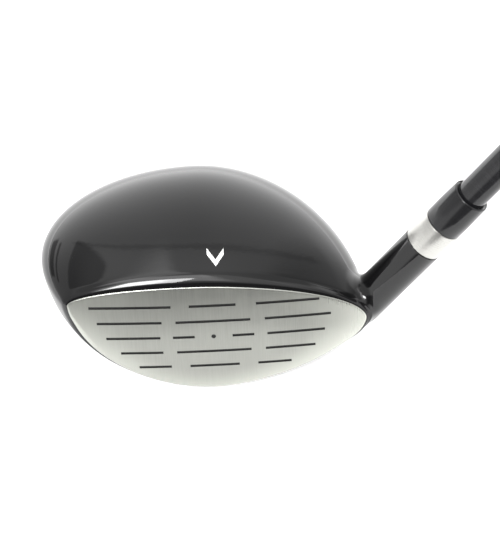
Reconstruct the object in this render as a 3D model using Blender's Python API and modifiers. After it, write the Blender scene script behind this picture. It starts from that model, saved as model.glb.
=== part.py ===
"""Right-handed fairway wood at address: steel head, bonded shaft, rubber grip.

World frame in metres: the face looks along -Y, the toe along -X, the heel and the
shaft along +X, up is +Z. The sole stands on z = 0 and the origin is the middle of
the flat spot under the sole. Every dimension below is in millimetres.
"""
import math

import bmesh
import bpy
from mathutils import Matrix, Vector

MM = 0.001

# head, measured from the middle of the face
HEAD_DEPTH = 70.7          # face to the back of the skirt
FACE_HEIGHT_Z = 21.2       # middle of the face above the ground
FACE_FORWARD = 14.0        # middle of the face in front of the origin
LOFT = math.radians(16.0)
BULGE_RADIUS = 600.0
ROLL_RADIUS = 280.0
TOE_X = -44.8
TOE_Z = 11.5
TOP_X = -6.0
TOP_Z = 17.45
HEEL_X = 48.2
HEEL_Z = 2.5
BOTTOM_X = 0.0
BOTTOM_Z = -20.8
REAR_X = -1.0
REAR_Z = -8.7
FRONT_EXPONENTS = (2.0, 1.83, 1.65, 1.88)
REAR_EXPONENTS = (2.04, 1.85, 2.0, 2.0)
TOE_SWELL = (1.08, 1.33)
HEEL_SWELL = (0.14, 1.78)
CROWN_SWELL = (0.57, 3.1)
SOLE_SWELL = (0.12, 2.4)
TOPLINE_RADIUS = 2.4
SIDE_RADIUS = 0.9
SOLE_RADIUS = 0.5

# walls and seams
WALL = 1.3
SEAM = 0.3
BOND = 0.1
FACE_THICKNESS = 2.4
FACE_EDGE = 0.5

# plates let into the body, seen from above
CROWN_TOE = -44.5
CROWN_HEEL = 29.5
CROWN_FRONT = 15.0
CROWN_REAR_MARGIN = 9.3
SOLE_TOE = -27.0
SOLE_HEEL = 23.0
SOLE_FRONT = 6.0
SOLE_REAR_MARGIN = 31.8
PLATE_EXPONENT = 2.3
PAD_CENTRE = (2.0, 26.0)
PAD_RADIUS = 11.0
PAD_HEIGHT = 2.0

# score lines
LINE_PITCH = 5.6
LINE_OFFSET = 0.25
LINE_WIDTH = 0.9
LINE_DEPTH = 0.4
DOT_RADIUS = 0.7
LINE_ROWS = (
    (2, ((-38.1, -12.8), (-7.2, 7.2), (13.5, 33.2))),
    (1, ((-36.0, -15.9), (-11.6, 11.6), (16.1, 36.8))),
    (0, ((-33.5, -16.6), (-12.7, -5.9), (5.9, 12.7), (16.8, 34.9))),
    (-1, ((-29.3, -16.0), (-11.7, 11.7), (16.2, 31.9))),
    (-2, ((-23.9, -13.7), (-7.8, 7.8), (13.7, 24.3))),
)

# shaft axis
LIE = math.radians(57.3)
AXIS_X = 48.0
AXIS_Y = 11.0
CLUB_LENGTH = 1092.0
AXIS_GROUND = -FACE_HEIGHT_Z / math.sin(LIE)
BUTT = CLUB_LENGTH + AXIS_GROUND

# neck, distances along the axis from face height
HOSEL_RADIUS = 6.3
HOSEL_TOP = 31.7
BORE_FLOOR = 7.5
RING_RADIUS = 6.2
RING_LENGTH = 9.8
FERRULE_LENGTH = 13.4
FERRULE_RADIUS = 6.15
FERRULE_TOP_RADIUS = 5.9
FERRULE_BEVEL = 0.6

# shaft and its tip weight
TIP_RADIUS = 4.7
TIP_STRAIGHT = 92.0
SHAFT_WALL = 1.15
BUTT_RADIUS = 7.62
WEIGHT_RADIUS = 3.3
WEIGHT_LENGTH = 22.0
WEIGHT_HEAD = 1.5

# grip
GRIP_LENGTH = 268.0
TAPE_THICKNESS = 0.3
GRIP_MOUTH_RADIUS = 9.2
GRIP_BEAD = 0.5
GRIP_END_RADIUS = 13.4
CAP_RADIUS = 14.8
CAP_LENGTH = 5.0
CAP_VENT = 1.0

RINGS = 18
AROUND = 52
TURNS = 48

# positions that follow from the sizes above
CROWN_REAR = HEAD_DEPTH - CROWN_REAR_MARGIN
SOLE_REAR = HEAD_DEPTH - SOLE_REAR_MARGIN
CROWN_CENTRE = (0.5 * (CROWN_TOE + CROWN_HEEL), 0.5 * (CROWN_FRONT + CROWN_REAR))
CROWN_HALF = (0.5 * (CROWN_HEEL - CROWN_TOE), 0.5 * (CROWN_REAR - CROWN_FRONT))
SOLE_CENTRE = (0.5 * (SOLE_TOE + SOLE_HEEL), 0.5 * (SOLE_FRONT + SOLE_REAR))
SOLE_HALF = (0.5 * (SOLE_HEEL - SOLE_TOE), 0.5 * (SOLE_REAR - SOLE_FRONT))
BODY_START = FACE_THICKNESS + SEAM
RING_START = HOSEL_TOP + BOND
FERRULE_START = RING_START + RING_LENGTH + BOND
FERRULE_END = FERRULE_START + FERRULE_LENGTH
SHAFT_START = BORE_FLOOR + BOND + WEIGHT_HEAD + BOND
CAP_START = BUTT - CAP_LENGTH
SHAFT_END = CAP_START - BOND
GRIP_START = BUTT - GRIP_LENGTH
TAPER_END = GRIP_START - 8.0
TAPE_RADIUS = BUTT_RADIUS + BOND
GRIP_BORE = TAPE_RADIUS + TAPE_THICKNESS + BOND


def clear_scene():
    """Remove everything the session starts with."""
    for old in list(bpy.data.objects):
        bpy.data.objects.remove(old, do_unlink=True)


clear_scene()
club = bpy.data.collections.new("fairway_wood")
cutters = bpy.data.collections.new("cutters")
bpy.context.scene.collection.children.link(club)
bpy.context.scene.collection.children.link(cutters)


def finish(name, colour, roughness, metallic):
    """Make one plain surface finish."""
    made = bpy.data.materials.new(name)
    made.use_nodes = True
    shader = made.node_tree.nodes["Principled BSDF"]
    shader.inputs["Base Color"].default_value = (*colour, 1.0)
    shader.inputs["Roughness"].default_value = roughness
    shader.inputs["Metallic"].default_value = metallic
    return made


def to_world(x, y, z):
    """Turn a point measured from the middle of the face into world metres."""
    return Vector((x, y - FACE_FORWARD, z + FACE_HEIGHT_Z)) * MM


def along_axis():
    """Placement that puts local +Z on the shaft axis, local origin at face height."""
    tilt = Matrix.Rotation(math.pi / 2.0 - LIE, 4, "Y")
    return Matrix.Translation(to_world(AXIS_X, AXIS_Y, 0.0)) @ tilt


def add_object(name, mesh, collection, material=None):
    """Link a mesh as an object; cutters are kept out of the render."""
    made = bpy.data.objects.new(name, mesh)
    collection.objects.link(made)
    if material is not None:
        mesh.materials.append(material)
    if collection is cutters:
        made.hide_render = True
        made.display_type = "WIRE"
    return made


def mesh_of_rings(name, rings):
    """Skin closed rings; a ring of one point is a pole and end rings get a cap."""
    shape = bmesh.new()
    rows = []
    for ring in rings:
        rows.append([shape.verts.new(point) for point in ring])
    for first, second in zip(rows, rows[1:]):
        count = max(len(first), len(second))
        for i in range(count):
            j = (i + 1) % count
            if len(first) == 1:
                shape.faces.new((first[0], second[j], second[i]))
            elif len(second) == 1:
                shape.faces.new((first[i], first[j], second[0]))
            else:
                shape.faces.new((first[i], first[j], second[j], second[i]))
    for row in (rows[0], rows[-1]):
        if len(row) > 1:
            shape.faces.new(row)
    bmesh.ops.recalc_face_normals(shape, faces=shape.faces)
    for face in shape.faces:
        face.smooth = len(face.verts) < 5
    mesh = bpy.data.meshes.new(name)
    shape.to_mesh(mesh)
    shape.free()
    return mesh


def prism(name, outline, low, high):
    """Upright cutter with the given plan outline, heights measured from the face."""
    rings = []
    for height in (low, high):
        rings.append([to_world(x, y, height) for x, y in outline])
    return add_object(name, mesh_of_rings(name, rings), cutters)


def turned(name, profile, collection, material=None):
    """Spin a half profile of (radius, height) about local Z and stand it on the axis."""
    mesh = bpy.data.meshes.new(name)
    closed = profile[0][0] > 0.0
    points = [(radius * MM, 0.0, height * MM) for radius, height in profile]
    edges = [(i, i + 1) for i in range(len(points) - 1)]
    if closed:
        edges.append((len(points) - 1, 0))
    mesh.from_pydata(points, edges, [])
    made = add_object(name, mesh, collection, material)
    spin = made.modifiers.new("spin", "SCREW")
    spin.axis = "Z"
    spin.angle = math.tau
    spin.steps = TURNS
    spin.render_steps = TURNS
    spin.use_merge_vertices = True
    spin.merge_threshold = 0.00001
    spin.use_smooth_shade = True
    made.matrix_world = along_axis()
    return made


def cut(part, cutter, operation="DIFFERENCE"):
    """Add one exact Boolean to a part."""
    step = part.modifiers.new(cutter.name, "BOOLEAN")
    step.solver = "EXACT"
    step.operation = operation
    step.object = cutter


def swell(position, growth, power):
    """How far a side stands out at a position between the face (0) and the back (1)."""
    return (1.0 + growth * position) * math.sqrt(max(0.0, 1.0 - position ** power))


def blend(start, end, share):
    """Straight mix of two numbers."""
    return start + (end - start) * share


def rounding(behind, radius):
    """Outward growth of the edge just behind the face."""
    left = min(1.0, max(0.0, 1.0 - behind / (1.3 * radius)))
    return radius * math.sqrt(1.0 - left * left)


def quarter(angle, power):
    """One quarter of a superellipse as (cosine share, sine share)."""
    bend = 2.0 / power
    return abs(math.cos(angle)) ** bend, abs(math.sin(angle)) ** bend


def face_sag(x, z):
    """How far the curved, lofted face lies behind its own middle."""
    bulge = x * x / (2.0 * BULGE_RADIUS)
    roll = z * z / (2.0 * ROLL_RADIUS)
    return z * math.tan(LOFT) + (bulge + roll) / math.cos(LOFT)


def head_ring(behind, inset=0.0, grown=True):
    """Closed section of the head at one distance behind the face."""
    reach = HEAD_DEPTH - inset
    position = min(1.0, max(0.0, behind / reach))
    level = math.sqrt(max(0.0, 1.0 - position))
    middle = math.sqrt(max(0.0, 1.0 - position * position))
    fade = math.sqrt(max(0.0, 1.0 - position ** 1.3)) if grown else 0.0
    top = blend(REAR_Z, TOP_Z - inset, swell(position, *CROWN_SWELL))
    bottom = blend(REAR_Z, BOTTOM_Z + inset, swell(position, *SOLE_SWELL))
    toe = blend(REAR_X, TOE_X + inset, swell(position, *TOE_SWELL))
    heel = blend(REAR_X, HEEL_X - inset, swell(position, *HEEL_SWELL))
    top += rounding(behind, TOPLINE_RADIUS) * fade
    bottom -= rounding(behind, SOLE_RADIUS) * fade
    toe -= rounding(behind, SIDE_RADIUS) * fade
    heel += rounding(behind, SOLE_RADIUS) * fade
    toe_level = blend(REAR_Z, TOE_Z, level)
    heel_level = blend(REAR_Z, HEEL_Z, level)
    top_at = blend(REAR_X, TOP_X, middle)
    bottom_at = blend(REAR_X, BOTTOM_X, middle)
    corners = (
        (top_at, toe_level, toe, top),
        (top_at, heel_level, heel, top),
        (bottom_at, heel_level, heel, bottom),
        (bottom_at, toe_level, toe, bottom),
    )
    lean = (1.0 - max(0.0, behind - BODY_START) / (reach - BODY_START)) ** 1.5
    points = []
    for step in range(AROUND):
        angle = math.tau * step / AROUND
        index = min(3, int(angle / (math.pi / 2.0) + 1e-9))
        centre_x, centre_z, far_x, far_z = corners[index]
        power = blend(FRONT_EXPONENTS[index], REAR_EXPONENTS[index], position)
        across, up = quarter(angle, power)
        x = centre_x + (far_x - centre_x) * across
        z = centre_z + (far_z - centre_z) * up
        y = behind + face_sag(x, z) * lean
        points.append((x, y, z))
    return points


def head_rings(start, inset, grown=True):
    """Sections from just behind the face to the closed back of the head."""
    reach = HEAD_DEPTH - inset
    first = math.asin(max(0.0, start) / reach)
    rings = []
    for step in range(RINGS):
        angle = blend(first, math.pi / 2.0, step / RINGS)
        rings.append(head_ring(reach * math.sin(angle), inset, grown))
    rings.append([(REAR_X, reach, REAR_Z)])
    return rings


def head_mesh(name, start, inset, grown=True, pushed=0.0):
    """Closed skin of the head, its front section moved forward by pushed."""
    rings = head_rings(start, inset, grown)
    if pushed > 0.0:
        rings.insert(0, [(x, y - pushed, z) for x, y, z in rings[0]])
    return mesh_of_rings(name, [[to_world(*point) for point in ring] for ring in rings])


def plan_outline(centre, half, clearance, count=48):
    """Plan outline of a plate or of the opening around it."""
    outline = []
    bend = 2.0 / PLATE_EXPONENT
    for step in range(count):
        angle = math.tau * (step + 0.5) / count
        cosine = math.cos(angle)
        sine = math.sin(angle)
        x = math.copysign(abs(cosine) ** bend, cosine) * (half[0] + clearance)
        y = math.copysign(abs(sine) ** bend, sine) * (half[1] + clearance)
        outline.append((centre[0] + x, centre[1] + y))
    return outline


paint = finish("black_paint", (0.012, 0.012, 0.013), 0.12, 0.0)
steel = finish("brushed_steel", (0.56, 0.55, 0.53), 0.34, 1.0)
sole_steel = finish("satin_steel", (0.50, 0.50, 0.50), 0.30, 1.0)
silver = finish("satin_aluminium", (0.78, 0.77, 0.74), 0.28, 1.0)
plastic = finish("black_ferrule", (0.020, 0.020, 0.022), 0.22, 0.0)
graphite = finish("graphite_lacquer", (0.030, 0.030, 0.033), 0.26, 0.1)
brass = finish("brass", (0.65, 0.48, 0.20), 0.35, 1.0)
glue = finish("hot_melt", (0.70, 0.62, 0.42), 0.60, 0.0)
paper = finish("tape", (0.62, 0.60, 0.55), 0.80, 0.0)
rubber = finish("grip_rubber", (0.020, 0.020, 0.020), 0.72, 0.0)
hard_rubber = finish("cap_rubber", (0.025, 0.025, 0.026), 0.60, 0.0)

# cutters shared by the pieces of the head
cavity = add_object(
    "cavity", head_mesh("cavity", BODY_START, WALL, False, SEAM + 4.0), cutters)
ground_outline = [(-80, -40), (80, -40), (80, 110), (-80, 110)]
ground = prism("ground", ground_outline, -FACE_HEIGHT_Z - 12.0, -FACE_HEIGHT_Z)
crown_low = 1.0
crown_high = TOP_Z + 30.0
sole_low = BOTTOM_Z - 16.0
sole_high = BOTTOM_Z * 0.5
crown_opening = prism(
    "crown_opening", plan_outline(CROWN_CENTRE, CROWN_HALF, SEAM), crown_low, crown_high)
crown_outline = prism(
    "crown_outline", plan_outline(CROWN_CENTRE, CROWN_HALF, 0.0), crown_low, crown_high)
sole_opening = prism(
    "sole_opening", plan_outline(SOLE_CENTRE, SOLE_HALF, SEAM), sole_low, sole_high)
sole_outline = prism(
    "sole_outline", plan_outline(SOLE_CENTRE, SOLE_HALF, 0.0), sole_low, sole_high)

# hosel: a round post with a domed root buried in the heel
dome = []
for step in range(8):
    angle = math.pi / 2.0 * step / 8
    dome.append((HOSEL_RADIUS * math.cos(angle), -HOSEL_RADIUS * math.sin(angle)))
hosel = turned(
    "hosel_post",
    [(0.0, HOSEL_TOP), (HOSEL_RADIUS, HOSEL_TOP)] + dome + [(0.0, -HOSEL_RADIUS)],
    cutters)
bore_radius = TIP_RADIUS + BOND
bore = turned(
    "hosel_bore",
    [(0.0, HOSEL_TOP + 6.0), (bore_radius, HOSEL_TOP + 6.0),
     (bore_radius, BORE_FLOOR), (0.0, BORE_FLOOR)],
    cutters)

body = add_object("body_casting", head_mesh("body_casting", BODY_START, 0.0), club, paint)
cut(body, ground)
cut(body, cavity)
cut(body, crown_opening)
cut(body, sole_opening)
cut(body, hosel, "UNION")
cut(body, bore)

crown = add_object("crown_plate", head_mesh("crown_plate", BODY_START, 0.0), club, paint)
cut(crown, cavity)
cut(crown, crown_outline, "INTERSECT")

sole = add_object("sole_plate", head_mesh("sole_plate", BODY_START, 0.0), club, sole_steel)
cut(sole, ground)
cut(sole, cavity)
cut(sole, sole_outline, "INTERSECT")


def face_rings():
    """Sections of the face plate, from the middle of its front to that of its back."""
    outline = head_ring(0.0, 0.0, False)
    rings = [[(0.0, 0.0, 0.0)]]
    steps = 7
    for step in range(1, steps + 1):
        share = step / steps * (1.0 - FACE_EDGE / abs(HEEL_X))
        rings.append([(x * share, face_sag(x * share, z * share), z * share)
                      for x, y, z in outline])
    rings.append([(x, y + FACE_EDGE, z) for x, y, z in outline])
    rings.append([(x, y + FACE_THICKNESS, z) for x, y, z in outline])
    for share in (0.66, 0.33):
        rings.append([(x * share, face_sag(x * share, z * share) + FACE_THICKNESS,
                       z * share) for x, y, z in outline])
    rings.append([(0.0, FACE_THICKNESS, 0.0)])
    return rings


def face_clearance():
    """Room kept free behind and around the face plate where the hosel root comes close."""
    grow = 1.0 + 4.0 * FACE_EDGE / abs(HEEL_X)
    outline = [(x * grow, z * grow) for x, y, z in head_ring(0.0, 0.0, False)]
    room = FACE_THICKNESS + 0.7 * SEAM
    rings = []
    for behind in (-9.0, room):
        rings.append([to_world(x, face_sag(x, z) + behind, z) for x, z in outline])
    for share in (0.84, 0.68, 0.52, 0.34, 0.17):
        rings.append([
            to_world(x * share, face_sag(x * share, z * share) + room, z * share)
            for x, z in outline])
    rings.append([to_world(0.0, room, 0.0)])
    return mesh_of_rings("face_room", rings)


cut(body, add_object("face_room", face_clearance(), cutters))

face_mesh = mesh_of_rings(
    "face_plate", [[to_world(*point) for point in ring] for ring in face_rings()])
face = add_object("face_plate", face_mesh, club, steel)


def score_lines():
    """One cutter holding every groove and the centre dot."""
    shape = bmesh.new()
    for row, spans in LINE_ROWS:
        z = (row * LINE_PITCH + LINE_OFFSET) * math.cos(LOFT)
        for start, end in spans:
            x = 0.5 * (start + end)
            turn = Matrix.Rotation(x / BULGE_RADIUS, 4, "Z")
            lean = Matrix.Rotation(-(LOFT + z / ROLL_RADIUS), 4, "X")
            size = Matrix.Diagonal((end - start, 2.0 * LINE_DEPTH, LINE_WIDTH, 1.0))
            place = Matrix.Translation(to_world(x, face_sag(x, z), z))
            scale = Matrix.Scale(MM, 4)
            bmesh.ops.create_cube(
                shape, size=1.0, matrix=place @ turn @ lean @ scale @ size)
    z = LINE_OFFSET
    place = Matrix.Translation(to_world(0.0, face_sag(0.0, z), z))
    lean = Matrix.Rotation(math.pi / 2.0 - LOFT, 4, "X")
    bmesh.ops.create_cone(
        shape, cap_ends=True, segments=16, radius1=DOT_RADIUS * MM,
        radius2=DOT_RADIUS * MM, depth=2.0 * LINE_DEPTH * MM, matrix=place @ lean)
    mesh = bpy.data.meshes.new("score_lines")
    shape.to_mesh(mesh)
    shape.free()
    return mesh


cut(face, add_object("score_lines", score_lines(), cutters))

# tacky glue pooled on the floor of the head to catch loose chips
pad_outline = []
for step in range(32):
    angle = math.tau * step / 32
    pad_outline.append((PAD_CENTRE[0] + PAD_RADIUS * math.cos(angle),
                        PAD_CENTRE[1] + PAD_RADIUS * math.sin(angle)))
pad_floor = BOTTOM_Z + WALL
pad_column = prism("pad_column", pad_outline, pad_floor - 8.0, pad_floor + PAD_HEIGHT)
pad_mesh = head_mesh("hot_melt_pad", BODY_START, WALL + BOND, False)
pad = add_object("hot_melt_pad", pad_mesh, club, glue)
cut(pad, pad_column, "INTERSECT")

# neck fittings
ring_bore = TIP_RADIUS + BOND
turned("trim_ring", [
    (RING_RADIUS - 0.3, RING_START + RING_LENGTH), (RING_RADIUS, RING_START + RING_LENGTH - 0.3),
    (RING_RADIUS, RING_START + 0.3), (RING_RADIUS - 0.3, RING_START),
    (ring_bore, RING_START), (ring_bore, RING_START + RING_LENGTH)], club, silver)
turned("ferrule", [
    (FERRULE_TOP_RADIUS - FERRULE_BEVEL, FERRULE_END),
    (FERRULE_TOP_RADIUS, FERRULE_END - FERRULE_BEVEL),
    (FERRULE_RADIUS, blend(FERRULE_START, FERRULE_END, 0.35)),
    (FERRULE_RADIUS, FERRULE_START + 0.2), (FERRULE_RADIUS - 0.2, FERRULE_START),
    (ring_bore, FERRULE_START), (ring_bore, FERRULE_END)], club, plastic)

# shaft: a tapered tube, with a brass pin closing its tip
tip_bore = TIP_RADIUS - SHAFT_WALL
butt_bore = BUTT_RADIUS - SHAFT_WALL
turned("shaft", [
    (BUTT_RADIUS, SHAFT_END), (BUTT_RADIUS, TAPER_END), (TIP_RADIUS, TIP_STRAIGHT),
    (TIP_RADIUS, SHAFT_START + 0.4), (TIP_RADIUS - 0.4, SHAFT_START),
    (tip_bore, SHAFT_START), (tip_bore, TIP_STRAIGHT), (butt_bore, TAPER_END),
    (butt_bore, SHAFT_END)], club, graphite)
pin_foot = BORE_FLOOR + BOND
turned("tip_weight", [
    (0.0, pin_foot + WEIGHT_LENGTH), (WEIGHT_RADIUS - 0.4, pin_foot + WEIGHT_LENGTH),
    (WEIGHT_RADIUS, pin_foot + WEIGHT_LENGTH - 0.4), (WEIGHT_RADIUS, pin_foot + WEIGHT_HEAD),
    (TIP_RADIUS - 0.3, pin_foot + WEIGHT_HEAD), (TIP_RADIUS - 0.3, pin_foot),
    (0.0, pin_foot)], club, brass)

# grip: tape, moulded sleeve and end cap
tape_end = SHAFT_END - 2.0
turned("grip_tape", [
    (TAPE_RADIUS + TAPE_THICKNESS, tape_end), (TAPE_RADIUS + TAPE_THICKNESS, GRIP_START + 6.0),
    (TAPE_RADIUS, GRIP_START + 6.0), (TAPE_RADIUS, tape_end)], club, paper)
grip_end = CAP_START - BOND
bead = GRIP_MOUTH_RADIUS + GRIP_BEAD
swell_at = blend(GRIP_START, grip_end, 0.55)
swell_radius = blend(GRIP_MOUTH_RADIUS, GRIP_END_RADIUS, 0.42)
turned("grip_sleeve", [
    (CAP_RADIUS, grip_end), (CAP_RADIUS - 0.3, grip_end - 4.0),
    (GRIP_END_RADIUS, grip_end - 10.0), (swell_radius, swell_at),
    (GRIP_MOUTH_RADIUS, GRIP_START + 9.0), (bead, GRIP_START + 6.0),
    (bead, GRIP_START + 1.0), (bead - 0.7, GRIP_START),
    (GRIP_BORE, GRIP_START), (GRIP_BORE, grip_end)], club, rubber)
turned("grip_cap", [
    (CAP_RADIUS - 2.2, BUTT), (CAP_RADIUS - 0.8, BUTT - 0.5), (CAP_RADIUS, BUTT - 2.0),
    (CAP_RADIUS, CAP_START), (CAP_VENT, CAP_START), (CAP_VENT, BUTT)], club, hard_rubber)
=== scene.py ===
"""Looks of a right-handed fairway wood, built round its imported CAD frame.

The head stands at address: face towards -Y, toe towards -X, shaft rising towards +X,
ground at z = 0. Sizes in the classes are millimetres; meshes are in metres.
"""

import logging
import math
from dataclasses import dataclass, field
from enum import Enum
from typing import Any

import bmesh
import bpy
import numpy as np
from mathutils import Matrix, Vector
from mathutils.bvhtree import BVHTree

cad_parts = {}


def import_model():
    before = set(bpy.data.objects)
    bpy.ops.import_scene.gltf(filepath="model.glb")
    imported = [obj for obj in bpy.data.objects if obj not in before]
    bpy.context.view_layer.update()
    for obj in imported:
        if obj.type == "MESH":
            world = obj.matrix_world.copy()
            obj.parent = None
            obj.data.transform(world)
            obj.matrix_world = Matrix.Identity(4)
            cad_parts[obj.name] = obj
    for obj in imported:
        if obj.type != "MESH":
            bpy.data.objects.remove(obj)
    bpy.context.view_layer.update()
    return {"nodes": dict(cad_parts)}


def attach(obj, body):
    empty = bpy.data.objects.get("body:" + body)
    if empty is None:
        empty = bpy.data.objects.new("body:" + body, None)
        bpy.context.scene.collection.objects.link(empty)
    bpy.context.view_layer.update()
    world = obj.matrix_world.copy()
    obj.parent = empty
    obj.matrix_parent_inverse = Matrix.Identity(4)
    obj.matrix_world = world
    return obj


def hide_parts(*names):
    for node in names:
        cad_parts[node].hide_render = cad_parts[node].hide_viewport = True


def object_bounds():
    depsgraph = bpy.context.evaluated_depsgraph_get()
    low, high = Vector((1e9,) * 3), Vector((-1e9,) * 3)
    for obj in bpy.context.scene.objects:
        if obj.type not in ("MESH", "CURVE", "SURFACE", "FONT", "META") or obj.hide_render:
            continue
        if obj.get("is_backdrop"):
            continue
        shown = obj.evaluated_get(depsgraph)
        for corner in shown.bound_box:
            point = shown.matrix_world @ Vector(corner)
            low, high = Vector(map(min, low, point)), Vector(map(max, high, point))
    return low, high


MM = 0.001
BODY = "root"
LOG = logging.getLogger("fairway_wood")

Colour = tuple[float, float, float]
Profile = list[tuple[float, float]]


# ---------------------------------------------------------------- shader graphs


class Sock:
    """A shader value that can be used in Python sums."""

    def __init__(self, graph: "Graph", socket: bpy.types.NodeSocket) -> None:
        """Wrap one output socket of a graph."""
        self.graph = graph
        self.socket = socket

    def _math(self, operation: str, first: Any, second: Any) -> "Sock":
        """Add one Math node.

        Args:
            operation: the Math node's operation.
            first: value or Sock for the first input.
            second: value or Sock for the second input.

        Returns:
            The node's result.
        """
        made = self.graph.node("ShaderNodeMath", {"operation": operation}, {0: first, 1: second})
        return self.graph.out(made, 0)

    def __add__(self, other: Any) -> "Sock":
        """self + other."""
        return self._math("ADD", self, other)

    def __radd__(self, other: Any) -> "Sock":
        """other + self."""
        return self._math("ADD", other, self)

    def __sub__(self, other: Any) -> "Sock":
        """self - other."""
        return self._math("SUBTRACT", self, other)

    def __rsub__(self, other: Any) -> "Sock":
        """other - self."""
        return self._math("SUBTRACT", other, self)

    def __mul__(self, other: Any) -> "Sock":
        """self * other."""
        return self._math("MULTIPLY", self, other)

    def __rmul__(self, other: Any) -> "Sock":
        """other * self."""
        return self._math("MULTIPLY", other, self)

    def __pow__(self, other: Any) -> "Sock":
        """self ** other."""
        return self._math("POWER", self, other)

    def apply(self, operation: str, other: Any = 0.0) -> "Sock":
        """One Math operation that has no Python sign, such as SINE."""
        return self._math(operation, self, other)

    def ramp(self, low: float, high: float) -> "Sock":
        """Smooth step from 0 at low to 1 at high."""
        made = self.graph.node(
            "ShaderNodeMapRange",
            {"interpolation_type": "SMOOTHSTEP"},
            {"Value": self, "From Min": low, "From Max": high},
        )
        return self.graph.out(made, 0)


class Graph:
    """Node tree of one material or world, built from expressions."""

    def __init__(self, tree: bpy.types.NodeTree) -> None:
        """Take over a node tree and empty it."""
        self.tree = tree
        tree.nodes.clear()

    def node(self, kind: str, settings: dict[str, Any], inputs: dict[Any, Any]) -> bpy.types.Node:
        """Add one node.

        Args:
            kind: the node's type name.
            settings: attributes set before the sockets, such as an operation.
            inputs: socket name or number to a value, a Sock or a socket.

        Returns:
            The new node.
        """
        made = self.tree.nodes.new(kind)
        for name, value in settings.items():
            setattr(made, name, value)
        for key, value in inputs.items():
            if isinstance(value, Sock):
                self.tree.links.new(value.socket, made.inputs[key])
            elif isinstance(value, bpy.types.NodeSocket):
                self.tree.links.new(value, made.inputs[key])
            else:
                made.inputs[key].default_value = value
        return made

    def out(self, node: bpy.types.Node, key: Any = 0) -> Sock:
        """One output of a node as a Sock."""
        return Sock(self, node.outputs[key])

    def split(self, vector: Sock) -> tuple[Sock, Sock, Sock]:
        """The three parts of a vector."""
        made = self.node("ShaderNodeSeparateXYZ", {}, {0: vector})
        return self.out(made, 0), self.out(made, 1), self.out(made, 2)

    def join(self, x: Any, y: Any, z: Any) -> Sock:
        """A vector from three values."""
        return self.out(self.node("ShaderNodeCombineXYZ", {}, {0: x, 1: y, 2: z}))

    def noise(self, vector: Sock, scale: float, detail: float = 2.0, rough: float = 0.5) -> Sock:
        """Noise value around 0.5 at a vector."""
        made = self.node(
            "ShaderNodeTexNoise",
            {"noise_dimensions": "3D"},
            {"Vector": vector, "Scale": scale, "Detail": detail, "Roughness": rough},
        )
        return self.out(made, 0)

    def blend(self, share: Sock, first: Any, second: Any) -> Sock:
        """Colour between first and second."""
        made = self.node("ShaderNodeMix", {"data_type": "RGBA"}, {0: share, 6: first, 7: second})
        return self.out(made, 2)

    def bump(self, height: Sock, strength: float, distance: float) -> Sock:
        """Normal of a height field given in shares of distance (metres)."""
        made = self.node(
            "ShaderNodeBump", {}, {"Height": height, "Strength": strength, "Distance": distance})
        return self.out(made, 0)

    def place(self, kind: str = "Object") -> Sock:
        """Texture coordinates of the piece."""
        return self.out(self.node("ShaderNodeTexCoord", {}, {}), kind)

    def along_shaft(self, lean: float) -> Sock:
        """Object coordinates turned so that Z runs along the shaft."""
        made = self.node(
            "ShaderNodeMapping", {}, {"Vector": self.place(), "Rotation": (0.0, -lean, 0.0)})
        return self.out(made, 0)


def rgba(colour: Colour) -> tuple[float, float, float, float]:
    """Colour with full alpha."""
    return (*colour, 1.0)


def new_surface(name: str, fixed: dict[str, Any], varying: dict[str, Any],
                graph: Graph, made: bpy.types.Material) -> bpy.types.Material:
    """Close a material with its Principled shader.

    Args:
        name: what the finish is called.
        fixed: socket values that are the same everywhere.
        varying: socket values that change over the surface.
        graph: the material's graph.
        made: the material itself.

    Returns:
        The finished material.
    """
    made.name = name
    shader = graph.node("ShaderNodeBsdfPrincipled", {}, {**fixed, **varying})
    graph.node("ShaderNodeOutputMaterial", {}, {"Surface": graph.out(shader)})
    return made


def start_surface(name: str) -> tuple[bpy.types.Material, Graph]:
    """An empty material and its graph."""
    made = bpy.data.materials.new(name)
    made.use_nodes = True
    return made, Graph(made.node_tree)


@dataclass(frozen=True)
class GlossPaint:
    """Black baked enamel with faint orange peel."""

    colour: Colour = (0.0022, 0.0022, 0.0025)
    roughness: float = 0.05

    def make(self) -> bpy.types.Material:
        """The material."""
        made, g = start_surface("black_enamel")
        spot = g.place()
        cloud = g.noise(spot, 60.0, 3.0)
        dust = g.noise(spot, 2600.0, 2.0).ramp(0.72, 0.80)
        tone = g.blend(cloud.ramp(0.3, 0.7), rgba(self.colour),
                       rgba((self.colour[0] * 1.25, self.colour[1] * 1.22, self.colour[2] * 1.2)))
        rough = self.roughness + (cloud - 0.5) * 0.02 + dust * 0.05
        peel = g.noise(spot, 420.0, 1.0) * 0.6 + g.noise(spot, 1500.0, 1.0) * 0.2
        normal = g.bump(peel, 0.05, 0.0002)
        return new_surface(
            "black_enamel",
            {"Metallic": 0.0, "IOR": 1.5},
            {"Base Color": tone, "Roughness": rough, "Normal": normal}, g, made)


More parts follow.
